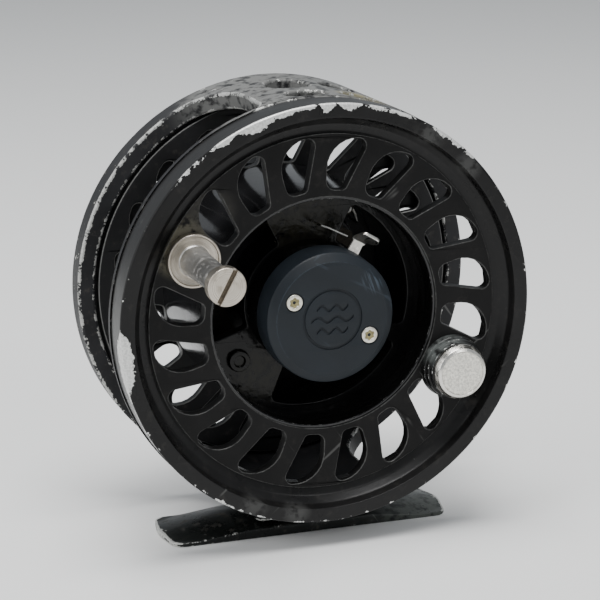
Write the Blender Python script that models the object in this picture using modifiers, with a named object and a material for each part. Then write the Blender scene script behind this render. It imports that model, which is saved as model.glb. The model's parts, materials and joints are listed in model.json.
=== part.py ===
"""Fly reel with a ported cage, a palming-rim spool and a disc drag.

Frame: metres, +Z up. The origin is the centre of the foot's flat underside, X runs
along the foot and the spool's axis runs along Y, with the handle side towards -Y.
Turned parts are drawn as (radius, depth) in millimetres, where depth is measured
back (+Y) from the front face of the spool's lip.
"""

import math

import bmesh
import bpy
from mathutils import Matrix, Vector

MM = 0.001

# Driving dimensions, in millimetres.
AXIS_HEIGHT = 50.3  # spool axis above the foot's underside
FOOT_DEPTH = 18.2  # foot's middle behind the lip
FOOT_HALF_LENGTH = 32.8
FOOT_HALF_WIDTH = 8.4
FOOT_THICK = 3.4
FOOT_END_THICK = 1.2
FOOT_SCREW_X = 8.0
GAP = 0.3  # clearance left between touching pieces

RIM_RADIUS = 44.45
SKIRT_DEPTH = 7.9
SKIRT_INNER_RADIUS = 43.2
PLATE_FRONT = 3.3
PLATE_BACK = 5.9
PLATE_RADIUS = 37.8
ARBOR_RADIUS = 25.9
CUP_RADIUS = 24.2
CUP_FLOOR = 14.4
FLOOR_BACK = 17.2
HUB_RADIUS = 12.6
HUB_FRONT = 6.8
HUB_BORE = 4.6
FLANGE_RADIUS = 40.2
FLANGE_FRONT = 35.2
FLANGE_BACK = 37.0

PORT_COUNT = 20
PORT_PITCH = 360 / PORT_COUNT
FACE_PORT_ANGLE = 7  # clockwise from the top, seen from the front; the flange is milled with the face
# The ports of the cage's back are unevenly spaced, wider apart towards the top.
PLATE_PORTS = [12.2, 33.3] + [54.5 + PORT_PITCH * i for i in range(9)]
PLATE_PORTS += [217.5, 235] + [252.5 + PORT_PITCH * i for i in range(5)] + [349.5]
HANDLE_ANGLE = 295.8
HANDLE_RADIUS = 31.7

FRAME_RADIUS = 44.7
FRAME_INNER_RADIUS = 41.0
FRAME_FRONT = 5.2
BAND_FRONT = 8.25
RING_FRONT = 35.2
RECESS_DEPTH = 37.4
FRAME_BACK = 41.2
DRAG_RECESS_DEPTH = 38.9
DRAG_RECESS_RADIUS = 20.2
TOP_BAND = (-15, 28.5)  # clockwise degrees
FOOT_BAND = (160, 200)

SPINDLE_RADIUS = 3.0
COLLAR_RADIUS = 6.2
DRIVE_PIN_CIRCLE = 10.25
THRUST_PIN_CIRCLE = 11.0
PAWL_CIRCLE = 21.4
PAWL_ANGLE = 40
GEAR_TEETH = 30
GEAR_RADIUS = 18.7
LATCH_ANGLE = 30
CATCH_RADIUS = 6.4
STEM_HALF_WIDTH = 1.55
SPRING_WIRE_RADIUS = 0.28
CAP_SCREW_OFFSET = (8.2, 4.1)

FINE = 72  # facets round the largest turned parts
MEDIUM = 40
SMALL = 20


def clear_scene():
    for old in list(bpy.data.objects):
        bpy.data.objects.remove(old, do_unlink=True)


def new_collection(name, hidden=False):
    collection = bpy.data.collections.new(name)
    bpy.context.scene.collection.children.link(collection)
    collection.hide_render = hidden
    return collection


clear_scene()
PARTS = new_collection("fly_reel")
CUTTERS = new_collection("fly_reel_cutters", hidden=True)

# Every piece along the spool's axis is placed under this empty: its X is the reel's X,
# its Y is up and its -Z is depth behind the lip.
AXIS = bpy.data.objects.new("spool_axis", None)
AXIS.location = (0, -FOOT_DEPTH * MM, AXIS_HEIGHT * MM)
AXIS.rotation_euler = (math.radians(90), 0, 0)
PARTS.objects.link(AXIS)


def material(name, colour, roughness, metallic):
    made = bpy.data.materials.new(name)
    made.use_nodes = True
    shader = made.node_tree.nodes["Principled BSDF"]
    shader.inputs["Base Color"].default_value = (*colour, 1)
    shader.inputs["Roughness"].default_value = roughness
    shader.inputs["Metallic"].default_value = metallic
    return made


BLACK = material("black_anodised", (0.022, 0.022, 0.024), 0.42, 0.6)
FRAME_BLACK = material("worn_black_frame", (0.03, 0.03, 0.032), 0.5, 0.5)
CAP_PLASTIC = material("cap_plastic", (0.028, 0.034, 0.042), 0.5, 0.0)
STAINLESS = material("stainless_steel", (0.62, 0.59, 0.54), 0.3, 1.0)
SILVER = material("grained_silver", (0.72, 0.71, 0.68), 0.45, 1.0)
ALUMINIUM = material("bare_aluminium", (0.7, 0.7, 0.7), 0.35, 1.0)
BRONZE = material("bronze", (0.55, 0.36, 0.16), 0.4, 1.0)
CORK = material("cork", (0.45, 0.3, 0.17), 0.85, 0.0)


def place(obj, x=0.0, height=0.0, turn=0.0, depth=0.0):
    """Puts a piece drawn along the spool's axis at x and height from that axis, turned clockwise."""
    obj.parent = AXIS
    obj.location = (x * MM, height * MM, -depth * MM)
    obj.rotation_euler = (0, 0, math.radians(-turn))


def stand(obj, x=0.0, height=0.0):
    """Puts a piece drawn flat in the world on the foot's middle line instead."""
    obj.parent = None
    obj.location = (x * MM, 0, height * MM)


def add_mesh(name, mesh, surface=None):
    """A part with its surface, or without one a cutter."""
    obj = bpy.data.objects.new(name, mesh)
    if surface:
        PARTS.objects.link(obj)
        mesh.materials.append(surface)
    else:
        CUTTERS.objects.link(obj)
        obj.hide_render = True
        obj.display_type = "WIRE"
    place(obj)
    return obj


def cutter(name, work):
    """A cutter from a bmesh, which it frees."""
    mesh = bpy.data.meshes.new(name)
    work.to_mesh(mesh)
    work.free()
    return add_mesh(name, mesh)


def turned(name, profile, surface, facets, closed=False):
    """A profile of (radius, depth) points turned round the axis; its outer side runs towards the back."""
    mesh = bpy.data.meshes.new(name)
    points = [(radius * MM, 0, -depth * MM) for radius, depth in profile]
    edges = [(i, i + 1) for i in range(len(points) - 1)]
    if closed:
        edges.append((len(points) - 1, 0))
    mesh.from_pydata(points, edges, [])
    obj = add_mesh(name, mesh, surface)
    screw = obj.modifiers.new("Turn", "SCREW")
    screw.steps = facets
    screw.render_steps = facets
    screw.use_merge_vertices = True
    screw.merge_threshold = 0.00001
    screw.use_smooth_shade = True
    return obj


def tube(name, inner, outer, front, back, surface, facets):
    """A plain ring or sleeve between two radii and two depths."""
    corners = [(outer, front), (outer, back), (inner, back), (inner, front)]
    return turned(name, corners, surface, facets, closed=True)


def polar(angle, radius):
    """Point at a clockwise angle from the top, in the plane of the spool's face."""
    return Vector((radius * math.sin(math.radians(angle)), radius * math.cos(math.radians(angle))))


def circle(centre, radius, count):
    turns = [2 * math.pi * i / count for i in range(count)]
    return [Vector((centre[0] + radius * math.cos(t), centre[1] + radius * math.sin(t))) for t in turns]


def rounded_polygon(corners, radii, steps):
    """Outline through the corners with each one replaced by an arc of its radius, in its number of steps."""
    outline = []
    for i, (corner, radius, count) in enumerate(zip(corners, radii, steps)):
        before = (corners[i - 1] - corner).normalized()
        after = (corners[(i + 1) % len(corners)] - corner).normalized()
        half = before.angle(after) / 2
        centre = corner + (before + after).normalized() * radius / math.sin(half)
        start = corner + before * radius / math.tan(half) - centre
        end = corner + after * radius / math.tan(half) - centre
        sweep = start.angle_signed(end)
        for step in range(count + 1):
            outline.append(centre + Matrix.Rotation(-sweep * step / count, 2) @ start)
    return outline


def slot(angle, inner, outer, width):
    """Radial slot with round ends, as an outline."""
    out = polar(angle, 1)
    side = Vector((out.y, -out.x)) * width / 2
    corners = [out * inner - side, out * inner + side, out * outer + side, out * outer - side]
    return rounded_polygon(corners, [width / 2 * 0.98] * 4, [2] * 4)


def plate(name, outlines, front, back, surface=None):
    """Flat outlines in the plane of the spool's face, filled from one depth to another, as a mesh."""
    curve = bpy.data.curves.new(name, "CURVE")
    curve.dimensions = "2D"
    curve.fill_mode = "BOTH"
    curve.extrude = (back - front) / 2 * MM
    for outline in outlines:
        spline = curve.splines.new("POLY")
        spline.points.add(len(outline) - 1)
        for point, place_2d in zip(spline.points, outline):
            point.co = (place_2d[0] * MM, place_2d[1] * MM, 0, 1)
        spline.use_cyclic_u = True
    guide = bpy.data.objects.new(name + "_outline", curve)
    bpy.context.scene.collection.objects.link(guide)
    bpy.context.view_layer.update()
    graph = bpy.context.evaluated_depsgraph_get()
    mesh = bpy.data.meshes.new_from_object(guide.evaluated_get(graph))
    bpy.data.objects.remove(guide)
    mesh.transform(Matrix.Translation((0, 0, -(front + back) / 2 * MM)))
    weld(mesh)
    mesh.materials.clear()
    return add_mesh(name, mesh, surface)


def weld(mesh):
    work = bmesh.new()
    work.from_mesh(mesh)
    bmesh.ops.remove_doubles(work, verts=work.verts, dist=0.00001)
    bmesh.ops.recalc_face_normals(work, faces=work.faces)
    work.to_mesh(mesh)
    work.free()


def wire(name, points, radius, surface):
    """A round wire with filled ends, through points given as (clockwise angle, radius, depth)."""
    curve = bpy.data.curves.new(name, "CURVE")
    curve.dimensions = "3D"
    curve.bevel_depth = radius * MM
    curve.bevel_resolution = 2
    curve.use_fill_caps = True
    spline = curve.splines.new("POLY")
    spline.points.add(len(points) - 1)
    for point, (angle, out, depth) in zip(spline.points, points):
        flat = polar(angle, out)
        point.co = (flat.x * MM, flat.y * MM, -depth * MM, 1)
    obj = bpy.data.objects.new(name, curve)
    curve.materials.append(surface)
    PARTS.objects.link(obj)
    place(obj)


def boolean(obj, cutter, operation="DIFFERENCE"):
    cut = obj.modifiers.new(cutter.name, "BOOLEAN")
    cut.operation = operation
    cut.solver = "EXACT"
    cut.object = cutter


def box(name, size):
    """A box cutter of a size in millimetres, round its own origin."""
    work = bmesh.new()
    bmesh.ops.create_cube(work, size=1)
    bmesh.ops.scale(work, vec=Vector(size) * MM, verts=work.verts)
    return cutter(name, work)


def cylinder(work, radius, length, facets, matrix):
    bmesh.ops.create_cone(
        work,
        cap_ends=True,
        segments=facets,
        radius1=radius * MM,
        radius2=radius * MM,
        depth=length * MM,
        matrix=matrix,
    )


def hole_cutter(name, holes, facets=16):
    """Round holes along the spool's axis, each given as (centre, radius, front, back)."""
    work = bmesh.new()
    for centre, radius, front, back in holes:
        shift = Matrix.Translation((centre[0] * MM, centre[1] * MM, -(front + back) / 2 * MM))
        cylinder(work, radius, back - front, facets, shift)
    return cutter(name, work)


def radial_cutter(name, ports, facets=20):
    """Oval holes square to the axis, each given as (angle, depth, inner, outer, half_across, half_along)."""
    work = bmesh.new()
    for angle, depth, inner, outer, half_across, half_along in ports:
        turn = Matrix.Rotation(math.radians(-angle), 4, "Z")
        lift = Matrix.Translation((0, (inner + outer) / 2 * MM, -depth * MM))
        lay = Matrix.Rotation(math.radians(90), 4, "X")
        stretch = Matrix.Diagonal((half_across, half_along, outer - inner, 1))
        cylinder(work, 1, 1, facets, turn @ lift @ lay @ stretch)
    bmesh.ops.recalc_face_normals(work, faces=work.faces)
    return cutter(name, work)


def corner_cut(distance, radius):
    """How far a rounded corner of this radius has closed in, at a distance from the outline's end."""
    if distance >= radius:
        return 0
    return radius - math.sqrt(radius**2 - (radius - distance) ** 2)


def side_opening(name, start, end, front, back, front_radius, back_radius):
    """Cutter for the cage's side: a band round the axis whose ends have rounded corners."""
    length = math.radians(end - start) * FRAME_RADIUS
    stations = [back_radius * (1 - math.cos(math.radians(15 * i))) for i in range(7)]
    count = 14
    middle = [back_radius + (length - 2 * back_radius) * i / count for i in range(1, count)]
    stations += middle + [length - s for s in reversed(stations)]
    work = bmesh.new()
    rings = []
    for station in stations:
        nearest = min(station, length - station)
        low = front + corner_cut(nearest, front_radius)
        high = back - corner_cut(nearest, back_radius)
        angle = start + math.degrees(station / FRAME_RADIUS)
        inner, outer = polar(angle, FRAME_INNER_RADIUS - 3), polar(angle, FRAME_RADIUS + 3)
        corners = [(inner, low), (outer, low), (outer, high), (inner, high)]
        rings.append([work.verts.new((at.x * MM, at.y * MM, -depth * MM)) for at, depth in corners])
    for ring, following in zip(rings, rings[1:]):
        for i in range(4):
            work.faces.new((ring[i], ring[(i + 1) % 4], following[(i + 1) % 4], following[i]))
    work.faces.new(rings[0])
    work.faces.new(rings[-1])
    bmesh.ops.recalc_face_normals(work, faces=work.faces)
    return cutter(name, work)


def arc(centre, radius, start, end, steps):
    """Profile points on an arc, by angle in degrees in the (radius, depth) plane."""
    angles = [math.radians(start + (end - start) * i / steps) for i in range(steps + 1)]
    return [(centre[0] + radius * math.cos(a), centre[1] + radius * math.sin(a)) for a in angles]


def face_port(angle):
    """Slanted port of the face plate and flange: straight on its leading side, swept on the other."""
    corners = [
        polar(angle - 7.0, 26.2),
        polar(angle - 6.6, 37.2),
        polar(angle + 7.8, 37.4),
        polar(angle + 1.9, 26.2),
    ]
    return rounded_polygon(corners, [1.9, 6.2, 1.7, 1.2], [2, 4, 2, 1])


def floor_opening(angle, half_span):
    """Kidney-shaped opening between two spokes of the cup's floor."""
    inner, outer = HUB_RADIUS + 1.6, CUP_RADIUS - 1.6
    ends = (angle - half_span, angle + half_span)
    sweep = [ends[0] + (ends[1] - ends[0]) * i / 8 for i in range(9)]
    return [polar(a, outer) for a in sweep] + [polar(a, inner) for a in reversed(sweep)]


def handle_centre(side):
    """Place of the handle (side 1) or of the counterweight opposite (side -1)."""
    return polar(HANDLE_ANGLE, HANDLE_RADIUS) * side


def cap_screw_places():
    """Places of the left and the right cap screw."""
    x, height = CAP_SCREW_OFFSET
    return [(-x, height), (x, -height)]


def build_spool():
    """Five turned pieces: the palming rim, the ported face, the arbor, the cup's floor and the flange."""
    rim_profile = [
        (41.4, 0.3),
        (41.7, 0.0),
        (43.95, 0.0),
        (RIM_RADIUS, 0.5),
        (RIM_RADIUS, SKIRT_DEPTH),
        (SKIRT_INNER_RADIUS, SKIRT_DEPTH),
        (SKIRT_INNER_RADIUS, 2.6),
        (40.2, 5.4),
        (39.4, PLATE_BACK),
        (PLATE_RADIUS + GAP, PLATE_BACK),
        (PLATE_RADIUS + GAP, 3.85),
        (38.8, 3.8),
        (40.2, 2.8),
        (41.1, 1.4),
    ]
    turned("spool_rim", rim_profile, BLACK, FINE, closed=True)

    face_profile = [
        (PLATE_RADIUS, PLATE_FRONT),
        (PLATE_RADIUS, PLATE_BACK),
        (CUP_RADIUS, PLATE_BACK),
        (CUP_RADIUS, PLATE_FRONT + 0.6),
        (CUP_RADIUS + 0.6, PLATE_FRONT),
    ]
    face = turned("spool_face", face_profile, BLACK, FINE, closed=True)
    skipped = {round((HANDLE_ANGLE - FACE_PORT_ANGLE) / PORT_PITCH) % PORT_COUNT}
    skipped.add((min(skipped) + PORT_COUNT // 2) % PORT_COUNT)
    angles = [FACE_PORT_ANGLE + PORT_PITCH * i for i in range(PORT_COUNT) if i not in skipped]
    boolean(face, plate("face_ports", [face_port(a) for a in angles], 2.0, PLATE_BACK + 1.2))
    post_holes = [(handle_centre(side), 2.6, 2, 7) for side in (1, -1)]
    boolean(face, hole_cutter("post_holes", post_holes, facets=12))

    tube("spool_arbor", CUP_RADIUS, ARBOR_RADIUS, PLATE_BACK + GAP, FLANGE_FRONT - GAP, BLACK, FINE)

    hub_profile = [
        (HUB_RADIUS, HUB_FRONT),
        (HUB_RADIUS, CUP_FLOOR),
        (CUP_RADIUS - GAP, CUP_FLOOR),
        (CUP_RADIUS - GAP, FLOOR_BACK),
        (HUB_BORE, FLOOR_BACK),
        (HUB_BORE, HUB_FRONT),
    ]
    hub = turned("spool_hub", hub_profile, BLACK, FINE, closed=True)
    kidneys = [floor_opening(a, 41) for a in (67, 160, 292)]
    boolean(hub, plate("cup_openings", kidneys, CUP_FLOOR - 1, FLOOR_BACK + 1))
    holes = [(at, 1.1, HUB_FRONT - 1, 12.4) for at in cap_screw_places()]
    holes += [(polar(120 * i, DRIVE_PIN_CIRCLE), 1.45, 13.4, FLOOR_BACK + 1) for i in range(3)]
    boolean(hub, hole_cutter("hub_holes", holes, facets=12))

    flange = tube("spool_flange", CUP_RADIUS, FLANGE_RADIUS, FLANGE_FRONT, FLANGE_BACK, BLACK, FINE)
    ports = [face_port(FACE_PORT_ANGLE + PORT_PITCH * i) for i in range(PORT_COUNT)]
    boolean(flange, plate("flange_ports", ports, FLANGE_FRONT - 1, FLANGE_BACK + 1))


def build_hub():
    bevel = arc((11.7, 1.4), 2.3, -90, 0, 3)
    cap_profile = [(0, -0.9)] + bevel + [(14.0, 6.4), (12.7, 6.4), (12.7, 1.6), (0, 1.6)]
    cap = turned("hub_cap", cap_profile, CAP_PLASTIC, MEDIUM)
    boolean(cap, hole_cutter("cap_screw_holes", [(at, 1.1, -2, 3) for at in cap_screw_places()]))
    boolean(cap, hole_cutter("cap_screw_seats", [(at, 2.0, -2, 0.6) for at in cap_screw_places()]))
    notch_centre = polar(LATCH_ANGLE, 13.6)
    notch = box("cap_notch", (6.4, 5.2, 1.9))
    place(notch, *notch_centre, turn=LATCH_ANGLE, depth=5.65)
    boolean(cap, notch)
    for name, at in zip(("cap_screw_left", "cap_screw_right"), cap_screw_places()):
        head = [(0, -0.85), (1.5, -0.85), (1.75, -0.6), (1.75, 0.3), (0.8, 0.3), (0.8, 12), (0, 12)]
        screw = turned(name, head, STAINLESS, SMALL)
        place(screw, *at)
        recess = plate(name + "_recess", [circle((0, 0), 0.75, 6)], -2, -0.3)
        place(recess, *at)
        boolean(screw, recess)
    for name, front in (("bush_front", HUB_FRONT + 0.4), ("bush_rear", 12.8)):
        tube(name, 3.3, 4.3, front, front + 4, BRONZE, SMALL)


def build_release():
    """The catch is a ring round the spindle's nose on a stem, which ends in a bent tab."""
    ring_centre = Vector((0, -0.8))
    stem_half = math.degrees(math.asin(STEM_HALF_WIDTH / CATCH_RADIUS))
    sweep = 360 - 2 * stem_half
    ring = [ring_centre + polar(stem_half + sweep * i / 20, CATCH_RADIUS) for i in range(21)]
    stem = [Vector((-STEM_HALF_WIDTH, 17)), Vector((STEM_HALF_WIDTH, 17))]
    lever = plate("release_lever", [ring + stem, circle(ring_centre, 3.5, 16)], 5.85, 6.45, STAINLESS)
    place(lever, turn=LATCH_ANGLE)
    tab = plate("release_tab", [circle((0, 0), 2.3, 16)], -0.3, 0.3)
    bend = Matrix.Rotation(math.radians(52), 4, "X")
    tab.data.transform(Matrix.Translation((0.8 * MM, 17.9 * MM, -4.75 * MM)) @ bend)
    place(tab, turn=LATCH_ANGLE)
    boolean(lever, tab, "UNION")
    route = [(2, 17.4, CUP_FLOOR - GAP), (2, 17.6, 10), (3, 17.6, 8.4), (7, 17.3, 7.8), (22, 16.4, 7.2)]
    wire("release_spring", route, SPRING_WIRE_RADIUS, STAINLESS)


def build_handle():
    centre = handle_centre(1)
    flange = [(2.5, 1.7), (4.75, 1.7), (4.95, 1.3), (5.4, 1.3), (5.6, 1.55), (5.6, 3.0), (2.5, 3.0)]
    place(turned("handle_flange", flange, STAINLESS, 28, closed=True), *centre)
    post_profile = [
        (0, -20.5),
        (3.6, -20.5),
        (3.85, -20.2),
        (3.85, -17.9),
        (2.85, -17.3),
        (2.8, -15.5),
        (3.15, -1.0),
        (3.15, 1.4),
        (2.2, 1.4),
        (2.2, 9.2),
        (0, 9.2),
    ]
    post = turned("handle_post", post_profile, STAINLESS, 24)
    place(post, *centre)
    driver_slot = box("post_slot", (9, 0.85, 2))
    place(driver_slot, *centre, turn=-59, depth=-20.65)
    boolean(post, driver_slot)
    nut = plate("handle_nut", [circle((0, 0), 4.2, 6), circle((0, 0), 2.5, 16)], 6.2, 8.8, STAINLESS)
    place(nut, *centre)


def build_counterweight():
    centre = handle_centre(-1)
    housing = [
        (0, 1.5),
        (5.3, 1.5),
        (5.3, -0.6),
        (6.0, -0.6),
        (6.05, 0.6),
        (6.45, 0.9),
        (6.5, 1.8),
        (6.9, 3.0),
        (2.3, 3.0),
        (2.3, 6.8),
        (0, 6.8),
    ]
    place(turned("counterweight_housing", housing, BLACK, 24), *centre)
    slug = [(0, -3.0), (4.7, -3.0), (5.45, -2.55), (5.9, -1.6), (5.9, -0.9), (5.0, -0.9), (5.0, 1.2), (0, 1.2)]
    place(turned("counterweight", slug, SILVER, 24), *centre)


def build_frame():
    """The cage: its ported back, the ring under the palming rim, and two bands that join them."""
    back_profile = [
        (FRAME_RADIUS, RING_FRONT),
        (FRAME_RADIUS, FRAME_BACK - 1.5),
        (FRAME_RADIUS - 0.5, FRAME_BACK - 0.5),
        (FRAME_RADIUS - 1.5, FRAME_BACK),
        (19, FRAME_BACK),
        (17.5, FRAME_BACK + 0.8),
        (8.0, FRAME_BACK + 0.8),
        (8.0, 46.4),
        (3.3, 46.4),
        (3.3, DRAG_RECESS_DEPTH),
        (DRAG_RECESS_RADIUS, DRAG_RECESS_DEPTH),
        (DRAG_RECESS_RADIUS, RECESS_DEPTH),
        (FRAME_INNER_RADIUS, RECESS_DEPTH),
        (FRAME_INNER_RADIUS, RING_FRONT),
    ]
    back = turned("frame_back", back_profile, FRAME_BLACK, FINE, closed=True)
    ports = [slot(angle, 26.2, 36.4, 6.5) for angle in PLATE_PORTS]
    boolean(back, plate("plate_ports", ports, RECESS_DEPTH - 1, FRAME_BACK + 1))
    holes = [(polar(60 + 120 * i, THRUST_PIN_CIRCLE), 1.3, 38, 44) for i in range(3)]
    holes.append((polar(PAWL_ANGLE, PAWL_CIRCLE), 1.3, 36, 39.8))
    boolean(back, hole_cutter("back_holes", holes))
    tube("frame_front_ring", FRAME_INNER_RADIUS, 42.7, FRAME_FRONT, BAND_FRONT - GAP, FRAME_BLACK, FINE)

    half_width = FRAME_RADIUS + 5
    halves = {}
    for name, side in (("upper_half", 1), ("lower_half", -1)):
        halves[name] = box(name, (2 * half_width, half_width, 60))
        place(halves[name], height=side * half_width / 2, depth=22)
    right = side_opening("right_opening", TOP_BAND[1], FOOT_BAND[0], 7.9, RING_FRONT, 5, 12)
    left = side_opening("left_opening", FOOT_BAND[1], 360 + TOP_BAND[0], 7.9, RING_FRONT, 5, 12)
    band = (FRAME_INNER_RADIUS, FRAME_RADIUS, BAND_FRONT, RING_FRONT - GAP, FRAME_BLACK, FINE)
    top_band = tube("frame_top_band", *band)
    ports = [(a, d, 36, 48, 4.7, h) for a in (-1, 14.5) for d, h in ((13.2, 3.5), (26, 5.8))]
    for cut in (right, left, halves["lower_half"], radial_cutter("band_ports", ports)):
        boolean(top_band, cut)
    foot_band = tube("frame_foot_band", *band)
    pad_height = 4.2
    pad = box("foot_pad", (25, 15.6, pad_height))
    stand(pad, height=FOOT_THICK + GAP + pad_height / 2)
    boolean(foot_band, pad, "UNION")
    for cut in (right, left, halves["upper_half"], vertical_holes("foot_screw_holes", 1.6, 3, 8.9)):
        boolean(foot_band, cut)


def vertical_holes(name, radius, low, high):
    """The foot's two screw holes, from one height to another above the foot's underside."""
    work = bmesh.new()
    for x in (-FOOT_SCREW_X, FOOT_SCREW_X):
        cylinder(work, radius, high - low, 16, Matrix.Translation((x * MM, 0, (low + high) / 2 * MM)))
    holes = cutter(name, work)
    stand(holes)
    return holes


def build_foot():
    """A thin saddle: clipped round ends, thicker in the middle, its top crowned across."""
    end_bulge = 1.6
    corners = [
        Vector((-FOOT_HALF_LENGTH + end_bulge, -FOOT_HALF_WIDTH)),
        Vector((-FOOT_HALF_LENGTH, 0)),
        Vector((-FOOT_HALF_LENGTH + end_bulge, FOOT_HALF_WIDTH)),
        Vector((FOOT_HALF_LENGTH - end_bulge, FOOT_HALF_WIDTH)),
        Vector((FOOT_HALF_LENGTH, 0)),
        Vector((FOOT_HALF_LENGTH - end_bulge, -FOOT_HALF_WIDTH)),
    ]
    outline = rounded_polygon(corners, [2.6, 14, 2.6, 2.6, 14, 2.6], [3, 2, 3, 3, 2, 3])
    foot = plate("reel_foot", [outline], -FOOT_THICK, 0, FRAME_BLACK)
    stand(foot)
    # Side view, laid back up by a quarter turn: thin ends rising to the flat middle.
    length = FOOT_HALF_LENGTH + 1
    side = [
        Vector((-length, -1)),
        Vector((length, -1)),
        Vector((length, FOOT_END_THICK)),
        Vector((13.5, FOOT_THICK)),
        Vector((-13.5, FOOT_THICK)),
        Vector((-length, FOOT_END_THICK)),
    ]
    wedge = plate("foot_side", [side], -12, 12)
    stand(wedge)
    wedge.rotation_euler = (math.radians(90), 0, 0)
    crown_radius = 30
    work = bmesh.new()
    cylinder(work, crown_radius, 80, 96, Matrix.Rotation(math.radians(90), 4, "Y"))
    crown = cutter("foot_crown", work)
    stand(crown, height=FOOT_THICK + 0.35 - crown_radius)
    boolean(foot, wedge, "INTERSECT")
    boolean(foot, crown, "INTERSECT")
    boolean(foot, vertical_holes("foot_holes", 1.6, -1, 5))
    boolean(foot, vertical_holes("foot_screw_seats", 3.0, -1, 1.9))
    for name, x in (("foot_screw_left", -FOOT_SCREW_X), ("foot_screw_right", FOOT_SCREW_X)):
        head = [(0, -8.6), (1.3, -8.6), (1.3, -1.6), (2.7, -1.6), (2.7, -0.5), (2.3, -0.2), (0, -0.2)]
        screw = turned(name, head, STAINLESS, 16)
        stand(screw, x)
        recess = plate(name + "_recess", [circle((0, 0), 1.2, 6)], -1.0, 1)
        stand(recess, x)
        boolean(screw, recess)


def build_spindle():
    profile = [
        (0, 3.6),
        (1.8, 3.6),
        (2.2, 4.0),
        (2.2, 5.3),
        (1.7, 5.6),
        (1.7, 6.8),
        (SPINDLE_RADIUS, 7.1),
        (SPINDLE_RADIUS, 28.9),
        (COLLAR_RADIUS, 28.9),
        (COLLAR_RADIUS, 30.6),
        (SPINDLE_RADIUS, 30.6),
        (SPINDLE_RADIUS, 49.3),
        (0, 49.3),
    ]
    turned("spindle", profile, STAINLESS, SMALL)
    plate("spindle_nut", [circle((0, 0), 5.2, 6), circle((0, 0), 3.3, SMALL)], 46.7, 49.0, STAINLESS)


def build_drive():
    tube("one_way_clutch", 3.4, 8.4, 18.2, 28.5, STAINLESS, SMALL)
    ring = tube("drive_ring", 8.8, 11.9, 17.8, 30.6, ALUMINIUM, MEDIUM)
    pin_places = [polar(120 * i, DRIVE_PIN_CIRCLE) for i in range(3)]
    boolean(ring, hole_cutter("drive_ring_holes", [(p, 1.25, 17, 21) for p in pin_places]))
    for i, at in enumerate(pin_places):
        pin = turned(f"drive_pin_{i + 1}", [(0, 13.8), (0.95, 13.8), (0.95, 20.7), (0, 20.7)], STAINLESS, 12)
        place(pin, *at)
    tube("brake_disc", 3.5, 19.0, 30.9, 33.1, ALUMINIUM, MEDIUM)
    teeth = []
    for i in range(GEAR_TEETH * 2):
        radius = GEAR_RADIUS if i % 2 else GEAR_RADIUS - 0.9
        teeth.append(polar(180 * i / GEAR_TEETH, radius))
    plate("click_gear", [teeth, circle((0, 0), 14.5, MEDIUM)], 28.2, 30.6, BRONZE)


def build_drag():
    tube("drag_disc", 6.8, 18.2, 33.4, 35.0, CORK, MEDIUM)
    tube("pressure_plate", 3.6, 18.5, 35.5, 37.1, ALUMINIUM, MEDIUM)
    spring = [(8.8, 37.4), (9.4, 37.4), (13.4, 38.1), (13.4, 38.5), (12.8, 38.5), (8.8, 37.8)]
    turned("spring_washer", spring, STAINLESS, SMALL, closed=True)
    for i in range(3):
        pin = turned(f"thrust_pin_{i + 1}", [(0, 38.8), (0.95, 38.8), (0.95, 43.1), (0, 43.1)], STAINLESS, 12)
        place(pin, *polar(60 + 120 * i, THRUST_PIN_CIRCLE))
    knob_profile = [
        (0, 50.6),
        (8.4, 50.6),
        (8.4, 43.9),
        (12.9, 43.9),
        (13.5, 44.5),
        (13.5, 53.2),
        (12.6, 54.1),
        (9.7, 54.1),
        (9.7, 53.0),
        (0, 53.0),
    ]
    knob = turned("drag_knob", knob_profile, BLACK, MEDIUM)
    grips = [(polar(36 * i + 4.5, 14.6), 2.2, 43, 55) for i in range(10)]
    boolean(knob, hole_cutter("knob_grips", grips, facets=10))
    turned("knob_cap", [(0, 53.3), (9.3, 53.3), (9.3, 54.0), (8.9, 54.3), (0, 54.3)], ALUMINIUM, MEDIUM)


def build_click():
    """A pawl on a pin, its tooth pointing at the axis, and the wire spring behind it."""
    centre = polar(PAWL_ANGLE, PAWL_CIRCLE)
    pin = turned("pawl_pin", [(0, 27.2), (0.9, 27.2), (0.9, 39.5), (0, 39.5)], STAINLESS, 12)
    place(pin, *centre)
    tooth_half = 37  # degrees of the pawl's round body taken by its tooth, each way
    sweep = 360 - 2 * tooth_half
    body = [polar(180 + tooth_half + sweep * i / 12, 1.75) for i in range(13)]
    tooth = [polar(180, 2.35)]
    pawl = plate("click_pawl", [body + tooth, circle((0, 0), 1.2, 12)], 28.4, 30.4, BRONZE)
    place(pawl, *centre, turn=PAWL_ANGLE)
    route = [(56, 21.6, 37), (56, 21.6, 32.4), (54.5, 21.6, 31.6), (50, 22.2, 31.3), (41, 23.2, 31.2)]
    wire("click_spring", route, SPRING_WIRE_RADIUS, STAINLESS)


build_frame()
build_foot()
build_spindle()
build_spool()
build_hub()
build_release()
build_handle()
build_counterweight()
build_drive()
build_drag()
build_click()
for part in PARTS.objects:
    if part.type == "MESH":
        part.data.shade_smooth()
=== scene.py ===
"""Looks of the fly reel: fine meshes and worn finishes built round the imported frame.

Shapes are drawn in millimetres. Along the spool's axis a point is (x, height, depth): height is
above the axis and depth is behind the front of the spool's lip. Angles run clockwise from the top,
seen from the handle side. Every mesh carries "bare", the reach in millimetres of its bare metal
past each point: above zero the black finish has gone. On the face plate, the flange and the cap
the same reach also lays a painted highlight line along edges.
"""

import json
import math

import bmesh
import bpy
from mathutils import Matrix, Vector

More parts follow.
